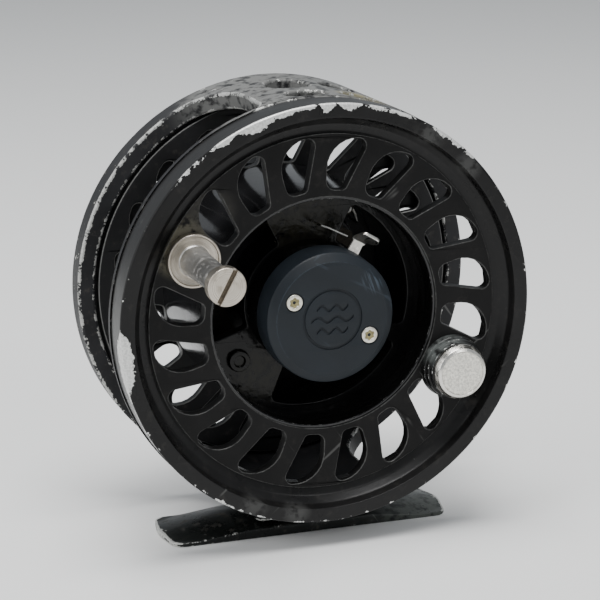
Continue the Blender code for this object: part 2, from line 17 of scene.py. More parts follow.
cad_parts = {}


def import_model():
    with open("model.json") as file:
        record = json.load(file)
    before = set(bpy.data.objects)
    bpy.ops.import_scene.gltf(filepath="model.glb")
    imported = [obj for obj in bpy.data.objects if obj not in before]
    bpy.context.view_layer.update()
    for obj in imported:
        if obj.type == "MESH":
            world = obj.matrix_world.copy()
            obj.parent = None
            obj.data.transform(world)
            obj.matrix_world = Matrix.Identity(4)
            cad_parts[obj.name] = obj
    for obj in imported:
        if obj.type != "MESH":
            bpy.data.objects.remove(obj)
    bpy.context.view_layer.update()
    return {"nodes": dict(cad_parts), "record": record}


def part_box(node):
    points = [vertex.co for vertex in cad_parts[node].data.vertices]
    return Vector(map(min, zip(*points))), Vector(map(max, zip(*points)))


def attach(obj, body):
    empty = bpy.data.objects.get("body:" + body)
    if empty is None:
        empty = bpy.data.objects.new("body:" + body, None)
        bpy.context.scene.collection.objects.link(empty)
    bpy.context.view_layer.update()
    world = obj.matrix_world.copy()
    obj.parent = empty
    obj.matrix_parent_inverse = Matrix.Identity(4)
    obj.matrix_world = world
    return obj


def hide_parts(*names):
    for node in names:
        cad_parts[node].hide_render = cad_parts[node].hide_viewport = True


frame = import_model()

MM = 0.001

spool_low, spool_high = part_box("spool_rim")
AXIS_X = (spool_low.x + spool_high.x) / 2
AXIS_Z = (spool_low.z + spool_high.z) / 2
LIP_Y = spool_low.y

# Sizes in millimetres.
RIM_RADIUS = (spool_high.x - spool_low.x) / 2 / MM
LIP_INNER = 41.4
LIP_ROUNDING = 0.4
SKIRT_DEPTH = 7.9
PLATE_FRONT = 3.3
PLATE_BACK = 5.9
PLATE_RADIUS = 37.8
ARBOR_RADIUS = 25.9
CUP_RADIUS = 24.2
CUP_FLOOR = 14.4
FLOOR_BACK = 17.2
HUB_RADIUS = 12.6
FLANGE_RADIUS = 40.2
FLANGE_FRONT = 35.2
FLANGE_BACK = (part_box("spool_flange")[1].y - LIP_Y) / MM
FRAME_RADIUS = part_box("frame_back")[1].x / MM
FRAME_INNER = 41.0
BAND_FRONT = 8.25
RING_FRONT = 35.2
BACK_FRONT = 37.4
FRAME_BACK = 41.2
RECESS_FRONT = 38.9
RECESS_RADIUS = 20.2
TOP_BAND = (-15, 28.5)
FOOT_BAND = (160, 200)
TOP_PORT_ANGLES = (-1, 14.5)
PORT_PITCH = 18
PORT_INNER = 26.2
FACE_PORT_ANGLE = 7
BACK_PORTS = [12.2, 33.3] + [54.5 + PORT_PITCH * i for i in range(9)]
BACK_PORTS += [217.5, 235] + [252.5 + PORT_PITCH * i for i in range(5)] + [349.5]
HANDLE_ANGLE = 295.8
HANDLE_RADIUS = 31.7
CAP_FRONT = -0.9
CAP_SCREW = (8.2, 4.1)
LATCH_ANGLE = 30
FADE = 1.0  # how far from an edge bare metal's reach keeps falling
SHARP = math.radians(40)


def world(x, height, depth):
    return Vector((AXIS_X + x * MM, LIP_Y + depth * MM, AXIS_Z + height * MM))


def polar(angle, radius):
    turn = math.radians(angle)
    return (radius * math.sin(turn), radius * math.cos(turn))


HANDLE = polar(HANDLE_ANGLE, HANDLE_RADIUS)
COUNTER = (-HANDLE[0], -HANDLE[1])


# Materials.


class Surface:
    """A material whose node tree grows by calls that each return a socket."""

    def __init__(self, name):
        self.material = bpy.data.materials.new(name)
        self.material.use_nodes = True
        self.tree = self.material.node_tree
        self.shader = self.tree.nodes["Principled BSDF"]
        self.place = self.node("ShaderNodeTexCoord").outputs["Object"]

    def fill(self, socket, value):
        if isinstance(value, bpy.types.NodeSocket):
            self.tree.links.new(value, socket)
        else:
            socket.default_value = value

    def node(self, kind, settings=None, **inputs):
        made = self.tree.nodes.new(kind)
        for name, value in (settings or {}).items():
            setattr(made, name, value)
        for name, value in inputs.items():
            self.fill(made.inputs[name.replace("_", " ")], value)
        return made

    def math(self, operation, first, second):
        made = self.node("ShaderNodeMath", {"operation": operation})
        self.fill(made.inputs[0], first)
        self.fill(made.inputs[1], second)
        return made.outputs[0]

    def between(self, value, low, high, start=0.0, end=1.0):
        made = self.node("ShaderNodeMapRange", {"interpolation_type": "SMOOTHSTEP"}, Value=value)
        for name, number in (("From Min", low), ("From Max", high), ("To Min", start), ("To Max", end)):
            made.inputs[name].default_value = number
        return made.outputs[0]

    def mix(self, factor, first, second):
        made = self.node("ShaderNodeMix", {"data_type": "RGBA"})
        self.fill(made.inputs[0], factor)
        for index, colour in ((6, first), (7, second)):
            self.fill(made.inputs[index], (*colour, 1) if isinstance(colour, tuple) else colour)
        return made.outputs[2]

    def noise(self, scale, detail=3.0, stretch=None, turn=0, roughness=0.55):
        """Noise with features about 1 / scale metres across, turned about Y and drawn out by stretch."""
        at = self.place
        if turn:
            rotation = (0, math.radians(turn), 0)
            at = self.node("ShaderNodeMapping", Vector=at, Rotation=rotation).outputs[0]
        if stretch:
            at = self.node("ShaderNodeMapping", Vector=at, Scale=stretch).outputs[0]
        inputs = {"Vector": at, "Scale": scale, "Detail": detail, "Roughness": roughness}
        return self.node("ShaderNodeTexNoise", **inputs).outputs["Fac"]

    def scratches(self, scale, turn, share):
        """Thin straight marks across the spool's face, broken up; a larger share leaves more."""
        streaks = self.noise(scale, 1, (1, 1, 0.04), turn)
        breaks = self.between(self.noise(90, 2), 0.5, 0.62)
        return self.math("MULTIPLY", self.between(streaks, 0.74 - share, 0.8 - share), breaks)

    def near(self, point, inner, outer):
        """One within inner metres of a point, fading to nothing at outer."""
        made = self.node("ShaderNodeVectorMath", {"operation": "DISTANCE"})
        self.fill(made.inputs[0], self.place)
        made.inputs[1].default_value = point
        return self.between(made.outputs["Value"], inner, outer, 1.0, 0.0)

    def rings(self, centre, scale):
        """Turning marks: noise that changes only with the distance from an axis along Y."""
        offset = self.node("ShaderNodeVectorMath", {"operation": "SUBTRACT"})
        self.fill(offset.inputs[0], self.place)
        offset.inputs[1].default_value = centre
        flat = self.node("ShaderNodeVectorMath", {"operation": "MULTIPLY"})
        self.fill(flat.inputs[0], offset.outputs[0])
        flat.inputs[1].default_value = (1, 0, 1)
        length = self.node("ShaderNodeVectorMath", {"operation": "LENGTH"})
        self.fill(length.inputs[0], flat.outputs[0])
        made = self.node("ShaderNodeTexNoise", {"noise_dimensions": "1D"}, Scale=scale, Detail=2.0)
        self.fill(made.inputs["W"], length.outputs["Value"])
        return made.outputs["Fac"]

    def bare(self, coarse, fine):
        """One where bare metal shows, and on some pieces a painted edge highlight, its border roughened by
        two sizes of noise, in millimetres.
        """
        reach = self.node("ShaderNodeAttribute", {"attribute_name": "bare"}).outputs["Fac"]
        for noise, size in ((self.noise(420, 6, roughness=0.65), coarse), (self.noise(2000, 3), fine)):
            swing = self.math("MULTIPLY", self.math("SUBTRACT", noise, 0.5), size)
            reach = self.math("ADD", reach, swing)
        return self.between(reach, -0.05, 0.05)

    def finish(self, colour, roughness, metallic=0.0, height=None, depth=0.0001):
        """Sends the sockets to the shader; height is from 0 to 1 and depth is its size in metres."""
        if isinstance(colour, tuple):
            colour = (*colour, 1)
        self.fill(self.shader.inputs["Base Color"], colour)
        self.fill(self.shader.inputs["Roughness"], roughness)
        self.fill(self.shader.inputs["Metallic"], metallic)
        if height is not None:
            bump = self.node("ShaderNodeBump", Distance=depth, Height=height)
            self.fill(self.shader.inputs["Normal"], bump.outputs[0])
        return self.material


BARE_METAL = (0.74, 0.74, 0.72)
DUST = (0.12, 0.11, 0.095)
TAN = (0.13, 0.12, 0.088)


def anodised(
    name,
    base,
    roughness,
    dust=0.3,
    scuffs=0.0,
    coarse=1.2,
    fine=0.5,
    tinted_patches=(),
    bare=BARE_METAL,
    relief=0.00005,
    shine=0.2,
):
    """Black anodising over aluminium: uneven, dusty and scratched, and worn through where "bare" says; on
    the face plate and the flange that also lays a painted highlight line along the edges.

    The patches are (point, inner, outer, colour, amount), in metres: dirt, and over the top of the cage dust
    with painted sheen."""
    s = Surface(name)
    cloud = s.noise(70, 4)
    grain = s.noise(2600, 2)
    colour = s.mix(s.between(cloud, 0.35, 0.65), base, tuple(1.6 * c for c in base))
    speck = s.between(s.noise(420, 6, roughness=0.7), 0.53, 0.75)
    dusty = s.math("MULTIPLY", speck, dust)
    colour = s.mix(dusty, colour, DUST)
    marks = s.math("MAXIMUM", s.scratches(900, 35, scuffs), s.scratches(700, -50, scuffs))
    colour = s.mix(s.math("MULTIPLY", marks, 0.3), colour, (0.25, 0.25, 0.24))
    for point, inner, outer, tint, amount in tinted_patches:
        patch = s.math("MULTIPLY", s.near(point, inner, outer), s.between(s.noise(500, 5), 0.34, 0.54))
        colour = s.mix(s.math("MULTIPLY", patch, amount), colour, tint)
    worn = s.bare(coarse, fine)
    metal = s.mix(s.between(grain, 0.3, 0.7), bare, tuple(0.72 * c for c in bare))
    colour = s.mix(worn, colour, metal)
    rough = s.math("ADD", s.between(cloud, 0.3, 0.7, roughness - 0.06, roughness + 0.06), dusty)
    rough = s.math("MAXIMUM", rough, s.math("MULTIPLY", worn, 0.42))
    height = s.math("SUBTRACT", s.math("MULTIPLY", s.noise(600, 4), 0.6), s.math("MULTIPLY", worn, 0.9))
    s.shader.inputs["Specular IOR Level"].default_value = shine
    return s.finish(colour, rough, s.math("MULTIPLY", worn, 0.5), height, relief)


def brushed(
    name, base, roughness, centre=None, tarnish=(0.2, 0.15, 0.08), stain=0.35, grain=0.3, marked=0.3
):
    """Plated or bare metal with turning marks round an axis, fine scratches and stains."""
    s = Surface(name)
    lines = s.rings(world(*centre), 5200) if centre else s.noise(900, 3, (1, 0.05, 1))
    spots = s.between(s.noise(600, 5), 0.5, 0.72)
    colour = s.mix(s.between(lines, 0.35, 0.65), base, tuple(0.82 * c for c in base))
    colour = s.mix(s.math("MULTIPLY", spots, stain), colour, tarnish)
    marks = s.math("MAXIMUM", s.scratches(1200, 20, 0.05), s.scratches(1000, -65, 0.05))
    colour = s.mix(s.math("MULTIPLY", marks, marked), colour, tuple(0.55 * c for c in base))
    stained = s.math("MULTIPLY", spots, 0.25)
    rough = s.math("ADD", s.between(lines, 0.3, 0.7, roughness - 0.06, roughness + 0.06), stained)
    height = s.math("ADD", s.math("MULTIPLY", lines, grain), s.math("MULTIPLY", marks, -0.6))
    return s.finish(colour, rough, 1.0, height, 0.00003)


def sparkling(name, base):
    """Coarse bright grains, each tilted its own way."""
    s = Surface(name)
    cells = s.node("ShaderNodeTexVoronoi", Vector=s.place, Scale=2400.0)
    shade = s.between(cells.outputs["Distance"], 0.0, 0.8)
    tone = s.noise(1800, 3)
    colour = s.mix(s.between(tone, 0.3, 0.7), base, tuple(0.62 * c for c in base))
    rough = s.between(s.noise(2200, 2), 0.35, 0.65, 0.3, 0.6)
    return s.finish(colour, rough, 0.35, s.math("ADD", shade, tone), 0.0001)


def plastic(name, base):
    """Dark moulded cap, rubbed and scratched lighter in places, with a painted highlight line round its
    flat.
    """
    s = Surface(name)
    cloud = s.noise(110, 4)
    colour = s.mix(s.between(cloud, 0.35, 0.65), base, tuple(1.35 * c for c in base))
    s.shader.inputs["Specular IOR Level"].default_value = 0.25
    light = tuple(6 * c for c in base)
    rubbed = s.near(world(8.6, 7.2, CAP_FRONT), 0.0008, 0.0034)
    cluster = s.math("MULTIPLY", rubbed, s.scratches(2200, 20, 0.2))
    lines = s.math("MAXIMUM", s.scratches(800, 62, 0.09), s.scratches(620, -28, 0.07))
    swept = s.near(world(-2, -8, CAP_FRONT), 0.003, 0.008)
    sweep = s.math("MULTIPLY", swept, s.scratches(1300, 50, 0.15))
    fine = s.math("MULTIPLY", s.math("MAXIMUM", lines, sweep), 0.35)
    colour = s.mix(s.math("MAXIMUM", fine, s.math("MULTIPLY", cluster, 0.8)), colour, light)
    # Rubbed spots on the edges, and the painted highlight line round the cap's flat, lighten the plastic
    # where bare says.
    worn = s.bare(0.5, 0.5)
    colour = s.mix(s.math("MULTIPLY", worn, 0.5), colour, tuple(3.2 * c for c in base))
    grain = s.noise(3000, 2)
    rough = s.between(cloud, 0.3, 0.7, 0.42, 0.54)
    return s.finish(colour, rough, 0.0, grain, 0.00002)


def plain(name, base, roughness, metallic=0.0, scale=900, depth=0.00004):
    """Inner pieces and the like: one colour, clouded by noise."""
    s = Surface(name)
    cloud = s.noise(scale, 5)
    colour = s.mix(s.between(cloud, 0.35, 0.65), base, tuple(0.6 * c for c in base))
    rough = s.between(cloud, 0.3, 0.7, roughness - 0.08, roughness + 0.08)
    return s.finish(colour, rough, metallic, cloud, depth)


def floor_paint(name, base):
    """Matt studio floor, very slightly uneven in tone."""
    s = Surface(name)
    cloud = s.noise(3, 2)
    colour = s.mix(cloud, base, tuple(0.97 * c for c in base))
    return s.finish(colour, s.between(cloud, 0.3, 0.7, 0.85, 0.95))


# Meshes.


def smooth(mesh):
    mesh.shade_smooth()
    mesh.set_sharp_from_angle(angle=SHARP)
    return mesh


def mesh_from(work, name):
    """Closes up a bmesh drawn in axis millimetres and moves it to its world place."""
    bmesh.ops.remove_doubles(work, verts=work.verts, dist=0.0005)
    bmesh.ops.dissolve_degenerate(work, edges=work.edges, dist=0.0001)
    bmesh.ops.recalc_face_normals(work, faces=work.faces)
    for vert in work.verts:
        vert.co = world(*vert.co)
    # world() mirrors; the turned faces keep open surfaces looking the right way.
    bmesh.ops.reverse_faces(work, faces=work.faces)
    bmesh.ops.recalc_face_normals(work, faces=work.faces)
    mesh = bpy.data.meshes.new(name)
    work.to_mesh(mesh)
    work.free()
    return smooth(mesh)


def fillet(before, corner, after, radius, steps):
    """Points of the arc that rounds a corner."""
    corner = Vector(corner)
    towards = (Vector(before) - corner).normalized()
    away = (Vector(after) - corner).normalized()
    half = towards.angle(away) / 2
    centre = corner + (towards + away).normalized() * radius / math.sin(half)
    start = corner + towards * radius / math.tan(half) - centre
    end = corner + away * radius / math.tan(half) - centre
    sweep = start.angle_signed(end)
    return [centre + Matrix.Rotation(-sweep * i / steps, 2) @ start for i in range(steps + 1)]


def outline(corners, radii, steps=7):
    """Closed outline through the corners, each rounded by its radius."""
    corners = [Vector(corner) for corner in corners]
    points = []
    for i, (corner, radius) in enumerate(zip(corners, radii)):
        points += fillet(corners[i - 1], corner, corners[(i + 1) % len(corners)], radius, steps)
    return points


def ring(radius, count=180, centre=(0, 0)):
    """Points of a circle."""
    turns = [2 * math.pi * i / count for i in range(count)]
    return [Vector((centre[0] + radius * math.sin(t), centre[1] + radius * math.cos(t))) for t in turns]


def profile_points(corners, closed, step):
    """(radius, depth, distance to the nearest edge) along a profile of (radius, depth, rounding).

    A rounding above zero is a worn edge, and one below zero a hollow that keeps its finish."""
    points = []
    count = len(corners)
    for i, (radius, depth, rounding) in enumerate(corners):
        if rounding == 0 or (not closed and i in (0, count - 1)):
            points.append((radius, depth, FADE))
            continue
        arc = fillet(corners[i - 1][:2], (radius, depth), corners[(i + 1) % count][:2], abs(rounding), 4)
        points += [(p.x, p.y, 0.0 if rounding > 0 else FADE) for p in arc]
    dense = []
    pairs = zip(points, points[1:] + points[:1]) if closed else zip(points, points[1:])
    for here, there in pairs:
        length = math.dist(here[:2], there[:2])
        dense.append(here)
        pieces = math.ceil(length / step)
        for k in range(1, pieces):
            part = k / pieces
            place = [here[j] + (there[j] - here[j]) * part for j in (0, 1)]
            edge = min(here[2] + part * length, there[2] + (1 - part) * length, FADE * 3)
            dense.append((*place, edge))
    if not closed:
        dense.append(points[-1])
    return dense


def lathe(name, corners, centre=(0, 0), segments=256, closed=True, step=0.6, bare=None):
    """A profile turned round an axis along Y.

    bare(angle, radius, depth, edge) says how far bare metal reaches past a point."""
    points = profile_points(corners, closed, step)
    work = bmesh.new()
    layer = work.verts.layers.float.new("bare")
    turns = []
    for i in range(segments):
        angle = 360 * i / segments
        column = []
        for radius, depth, edge in points:
            x, height = polar(angle, radius)
            vert = work.verts.new((centre[0] + x, centre[1] + height, depth))
            vert[layer] = bare(angle, radius, depth, edge) if bare else -0.06 - edge
            column.append(vert)
        turns.append(column)
    last = len(points) if closed else len(points) - 1
    for i in range(segments):
        here, there = turns[i], turns[(i + 1) % segments]
        for j in range(last):
            k = (j + 1) % len(points)
            work.faces.new((here[j], there[j], there[k], here[k]))
    return mesh_from(work, name)


def filled(outlines, thickness, rounding, reach, margin=0.3):
    """Flat outlines with rounded edges as a bmesh in mm, centred on z = 0.

    Bare metal reaches this far past the rounded edges, and a band this wide on both faces keeps it there."""
    curve = bpy.data.curves.new("outline", "CURVE")
    curve.dimensions = "2D"
    curve.fill_mode = "BOTH"
    curve.extrude = thickness / 2 - rounding
    curve.bevel_depth = rounding
    curve.bevel_resolution = 2
    curve.offset = -rounding
    for points in outlines:
        spline = curve.splines.new("POLY")
        spline.points.add(len(points) - 1)
        for target, point in zip(spline.points, points):
            target.co = (point[0], point[1], 0, 1)
        spline.use_cyclic_u = True
    guide = bpy.data.objects.new("outline", curve)
    bpy.context.scene.collection.objects.link(guide)
    bpy.context.view_layer.update()
    mesh = bpy.data.meshes.new_from_object(guide.evaluated_get(bpy.context.evaluated_depsgraph_get()))
    bpy.data.objects.remove(guide)
    work = bmesh.new()
    work.from_mesh(mesh)
    bpy.data.meshes.remove(mesh)
    bmesh.ops.remove_doubles(work, verts=work.verts, dist=0.0005)
    bmesh.ops.recalc_face_normals(work, faces=work.faces)
    wall = thickness / 2 - rounding
    for level in (wall - 0.12, wall - 0.4):
        for side in (-1, 1):
            if level > 0:
                slice_at(work, (0, 0, side * level), (0, 0, 1))
    layer = work.verts.layers.float.new("bare")
    for vert in work.verts:
        vert[layer] = reach - 2 * max(0.0, wall - abs(vert.co.z))
    band = {"thickness": margin, "use_even_offset": False, "use_boundary": True}
    for side in (-1, 1):
        flat = [face for face in work.faces if face.normal.z * side > 0.999]
        before = set(work.verts)
        if margin:
            bmesh.ops.inset_region(work, faces=flat, **band)
        inner = {v for face in flat for v in face.verts} | (set(work.verts) - before)
        rim = {v for face in work.faces if abs(face.normal.z) < 0.99 for v in face.verts}
        for vert in inner - rim:
            vert[layer] = reach - FADE
    return work


def slice_at(work, place, normal, clear_outer=False):
    """Cuts every face where it crosses a plane, and can clear what lies past the plane."""
    geometry = work.verts[:] + work.edges[:] + work.faces[:]
    plane = {"plane_co": place, "plane_no": normal}
    bmesh.ops.bisect_plane(work, geom=geometry, clear_outer=clear_outer, **plane)


def flat_piece(
    name, outlines, front, back, rounding=0.25, reach=-0.1, turn=0.0, centre=(0, 0), margin=0.3
):
    """Outlines in the plane of the spool's face, filled from one depth to another."""
    work = filled(outlines, back - front, rounding, reach, margin)
    spin = Matrix.Rotation(math.radians(-turn), 3, "Z")
    for vert in work.verts:
        x, y, z = spin @ vert.co
        vert.co = (x + centre[0], y + centre[1], (front + back) / 2 - z)
    return mesh_from(work, name)


def wrapped(name, outlines, inner, outer, rounding, wear):
    """Outlines drawn as (degrees, depth), wrapped round the axis as a wall from one radius to another.

    wear(angle, depth) adds to the reach of bare metal on the wall's outer face."""
    scale = math.radians(1) * outer
    flat = [[Vector((point[0] * scale, point[1])) for point in points] for points in outlines]
    work = filled(flat, outer - inner, rounding, 0.0)
    pitch = 1.5
    for i in range(-119, 120):
        slice_at(work, (pitch * i * scale, 0, 0), (1, 0, 0))
    for depth in range(10, 41, 2):
        slice_at(work, (0, depth, 0), (0, 1, 0))
    for side in (-1, 1):
        slice_at(work, (side * 180 * scale, 0, 0), (side, 0, 0), clear_outer=True)
    layer = work.verts.layers.float["bare"]
    middle = (inner + outer) / 2
    for vert in work.verts:
        angle = vert.co.x / scale
        if vert.co.z > 0:
            vert[layer] += wear(angle, vert.co.y)
        x, height = polar(angle, middle + vert.co.z)
        vert.co = (x, height, vert.co.y)
    return mesh_from(work, name)


def piece(name, mesh, surface, body, slot, *nodes):
    """A finished piece that rides on a body and stands for these CAD nodes."""
    mesh.materials.clear()
    mesh.materials.append(surface)
    obj = bpy.data.objects.new(name, mesh)
    bpy.context.scene.collection.objects.link(obj)
    obj.modifiers.new("Normals", "WEIGHTED_NORMAL").keep_sharp = True
    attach(obj, body)
    if nodes:
        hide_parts(*nodes)


def bump(angle, centre, half, height):
    """A lens-shaped rise of this height round a clockwise angle."""
    away = (angle - centre + 180) % 360 - 180
    return height * max(0.0, 1 - (away / half) ** 2)


# Spool.


# Chips along the lip's outer edge: (clockwise angle, half its length in degrees, reach in mm).
LIP_CHIPS = [
    (263, 9.5, 2.3),
    (-42, 6, 0.4),
    (-30, 6, 0.9),
    (-21, 7, 1.9),
    (-12, 6, 1.2),
    (-6, 4, 0.7),
    (-1.5, 2.2, 2.1),
    (5, 4, 1.3),
    (12, 4, 0.8),
    (20, 5, 0.5),
    (38, 9, 0.7),
]


def rim_bare(angle, radius, depth, edge):
    """The rim is knocked bare along its outer front edge, and scraped down its side at the left."""
    if depth > 5 or radius < LIP_INNER + 0.4:
        return -0.9 - edge
    if depth > LIP_ROUNDING:
        return bump(angle, 262, 11, 2.0) + bump(angle, 235, 28, 1.4) - 0.5 - 0.5 * depth
    chips = max(bump(angle, *chip) for chip in LIP_CHIPS)
    worn = bump(angle, 200, 70, 0.15) - 0.39
    return chips + worn - max(0.0, RIM_RADIUS - LIP_ROUNDING - radius)


def face_port(angle):
    """A slanted slot of the spool's face and flange: wider and turned clockwise at its outer end."""
    corners = [
        polar(angle - 7.0, PORT_INNER),
        polar(angle - 6.6, 37.2),
        polar(angle + 7.8, 37.4),
        polar(angle + 1.9, PORT_INNER),
    ]
    return outline(corners, [1.9, 6.2, 1.7, 1.2])


def slot_outline(angle, inner, outer, width):
    """A straight slot with round ends that points away from the axis."""
    out = Vector(polar(angle, 1))
    side = Vector((out.y, -out.x)) * width / 2
    corners = [out * inner - side, out * inner + side, out * outer + side, out * outer - side]
    return outline(corners, [width / 2 * 0.98] * 4)


def floor_opening(angle, half):
    """A kidney-shaped opening of the cup's floor, from half before an angle to half after it."""
    inner, outer = HUB_RADIUS + 1.6, CUP_RADIUS - 1.6
    sweep = [angle - half + half * i / 12 for i in range(25)]
    points = [polar(a, outer) for a in sweep] + [polar(a, inner) for a in reversed(sweep)]
    corners = {0: 1.1, 24: 1.1, 25: 0.7, 49: 0.7}
    return outline(points, [corners.get(i, 0.02) for i in range(50)], 4)


def make_rim():
    """The palming rim: a lip, a cove inside it and a skirt behind it."""
    tint = (0.06, 0.06, 0.058)
    scrapes = [(world(*polar(angle, 42), 0), 0.001, 0.004, tint, 0.7) for angle in (30, 45, 190, 203)]
    base = (0.0065, 0.0063, 0.0063)
    black = anodised("spool_rim_black", base, 0.3, dust=0.12, coarse=3.2, fine=0.9, tinted_patches=scrapes)
    profile = [
        (36.8, 4.0, 0),
        (38.0, 4.0, -0.2),
        (39.6, 3.55, -1.2),
        (41.1, 2.1, -1.2),
        (LIP_INNER, 0.0, 0.18),
        (RIM_RADIUS, 0.0, LIP_ROUNDING),
        (RIM_RADIUS, SKIRT_DEPTH, 0.25),
        (43.2, SKIRT_DEPTH, 0.2),
        (43.2, 2.6, -0.4),
        (40.2, 5.4, -0.5),
        (39.0, 5.75, 0),
        (36.8, 5.75, 0),
    ]
    mesh = lathe("palming_rim", profile, segments=720, step=0.35, bare=rim_bare)
    piece("palming_rim", mesh, black, "spool", "black_anodised", "spool_rim")


def make_face():
    """The face plate, with a port at each place that the handle and the counterweight leave free."""
    tinted_patches = [
        (world(HANDLE[0] - 2, HANDLE[1] + 2.5, PLATE_FRONT), 0.0045, 0.0075, TAN, 0.8),
        (world(-25, 23, PLATE_FRONT), 0.001, 0.007, (0.06, 0.057, 0.05), 0.8),
    ]
    # Bare lays a thin dim grey line along every port edge: partly wear, partly a painted edge highlight.
    black = anodised(
        "spool_face_black",
        (0.006, 0.0058, 0.0058),
        0.42,
        dust=0.1,
        coarse=0.25,
        fine=0.15,
        tinted_patches=tinted_patches,
        bare=(0.1, 0.1, 0.097),
        shine=0.12,
    )
    bosses = (HANDLE_ANGLE, HANDLE_ANGLE - 180)
    angles = [FACE_PORT_ANGLE + PORT_PITCH * i for i in range(20)]
    ports = [face_port(a) for a in angles if all(abs(a - b) > PORT_PITCH / 2 for b in bosses)]
    outlines = [ring(PLATE_RADIUS, 360), ring(CUP_RADIUS + 0.5, 240)] + ports
    mesh = flat_piece("face_plate", outlines, PLATE_FRONT, PLATE_BACK, 0.16, 0.02, margin=0.12)
    piece("face_plate", mesh, black, "spool", "black_anodised", "spool_face")


def make_arbor():
    """The drum that the line is wound on."""
    black = anodised(
        "spool_arbor_black", (0.006, 0.006, 0.0065), 0.13, dust=0.05, coarse=0.6, fine=0.4, shine=0.5
    )
    profile = [
        (CUP_RADIUS, 3.75, -0.2),
        (25.4, 3.75, 0),
        (25.4, 5.7, 0),
        (ARBOR_RADIUS, 5.7, 0),
        (ARBOR_RADIUS, 35.6, 0),
        (24.0, 35.6, 0),
        (24.0, 15.5, 0),
        (CUP_RADIUS, 15.5, 0),
    ]
    mesh = lathe("line_drum", profile, step=3)
    piece("line_drum", mesh, black, "spool", "black_anodised", "spool_arbor")


def make_cup():
    """The hub cup: a wall with a groove, a floor with three openings, the hub's sleeve and a rivet."""
    olive = (0.022, 0.02, 0.013)
    dusty = [(world(*polar(angle, 19), CUP_FLOOR), 0.003, 0.008, olive, 0.6) for angle in (-16, 4, 216)]
    black = anodised(
        "spool_cup_black",
        (0.003, 0.003, 0.003),
        0.12,
        dust=0.02,
        coarse=0.4,
        fine=0.2,
        tinted_patches=dusty,
        relief=0.00025,
    )
    lining = CUP_RADIUS - 0.06
    groove = CUP_RADIUS - 0.3
    wall = [
        (lining, 3.9, 0.1),
        (CUP_RADIUS + 0.05, 3.9, 0),
        (CUP_RADIUS + 0.05, CUP_FLOOR + 0.3, 0),
        (lining, CUP_FLOOR + 0.3, 0),
        (lining, 8.2, 0),
        (groove, 7.9, -0.08),
        (groove, 7.3, -0.08),
        (lining, 7.0, 0),
    ]
    mesh = lathe("cup_wall", wall, step=1.5)
    piece("cup_wall", mesh, black, "spool", "black_anodised", "spool_arbor")
    openings = [floor_opening(a, 41) for a in (67, 160, 292)]
    outlines = [ring(CUP_RADIUS + 0.2), ring(HUB_RADIUS - 0.6)] + openings
    mesh = flat_piece("cup_floor", outlines, CUP_FLOOR, FLOOR_BACK, 0.3, -0.25, margin=0.15)
    piece("cup_floor", mesh, black, "spool", "black_anodised", "spool_hub")
    sleeve = [
        (4.6, 6.8, 0.2),
        (9.8, 6.8, 0.15),
        (10.1, 7.4, 0),
        (HUB_RADIUS, 7.4, 0.3),
        (HUB_RADIUS, 12.6, -0.8),
        (HUB_RADIUS + 1.0, CUP_FLOOR + 0.2, 0),
        (HUB_RADIUS, FLOOR_BACK, 0),
        (4.6, FLOOR_BACK, 0.2),
    ]
    mesh = lathe("hub_sleeve", sleeve, segments=160)
    piece("hub_sleeve", mesh, black, "spool", "black_anodised", "spool_hub")
    rivet = [
        (0, 13.9, 0),
        (1.1, 13.9, -0.1),
        (1.3, 13.3, -0.1),
        (2.3, 13.3, -0.25),
        (2.5, 14.8, 0),
        (0, 14.8, 0),
    ]
    mesh = lathe("floor_rivet", rivet, polar(233, 19.3), segments=64, closed=False, step=0.4)
    piece("floor_rivet", mesh, black, "spool", "black_anodised")


def make_flange():
    """The spool's rear flange, milled with the same ports as the face, and all twenty of them."""
    # The grey that bare lays along every edge is a thin continuous line: mostly a painted edge highlight,
    # partly wear.
    base, worn = (0.008, 0.008, 0.0085), (0.16, 0.16, 0.155)
    black = anodised("spool_flange_black", base, 0.35, dust=0.2, coarse=0.15, fine=0.1, bare=worn)
    ports = [face_port(FACE_PORT_ANGLE + PORT_PITCH * i) for i in range(20)]
    outlines = [ring(FLANGE_RADIUS, 360), ring(24.2)] + ports
    mesh = flat_piece("ported_flange", outlines, FLANGE_FRONT, FLANGE_BACK, 0.2, 0.05)
    piece("ported_flange", mesh, black, "spool", "black_anodised", "spool_flange")


def wave(middle, half_length, swing, half_width):
    """A wavy strip as an outline, for the cap's engraving."""
    xs = [-half_length + half_length * i / 14 for i in range(29)]
    ys = [middle + swing * math.sin(2.2 * math.pi * x / half_length) for x in xs]
    top = [Vector((x, y + half_width)) for x, y in zip(xs, ys)]
    low = [Vector((x, y - half_width)) for x, y in zip(xs, ys)]
    return top + low[::-1]


def cap_edge_highlight(angle, radius, depth, edge):
    """A painted highlight: a thin light line round the edge of the cap's flat, brightest at the upper left
    and fading away at the lower right.
    """
    if depth > CAP_FRONT + 0.4 or radius < 11.8:
        return -0.6
    return 0.12 - 0.18 * (1 - math.cos(math.radians(angle + 50))) - edge


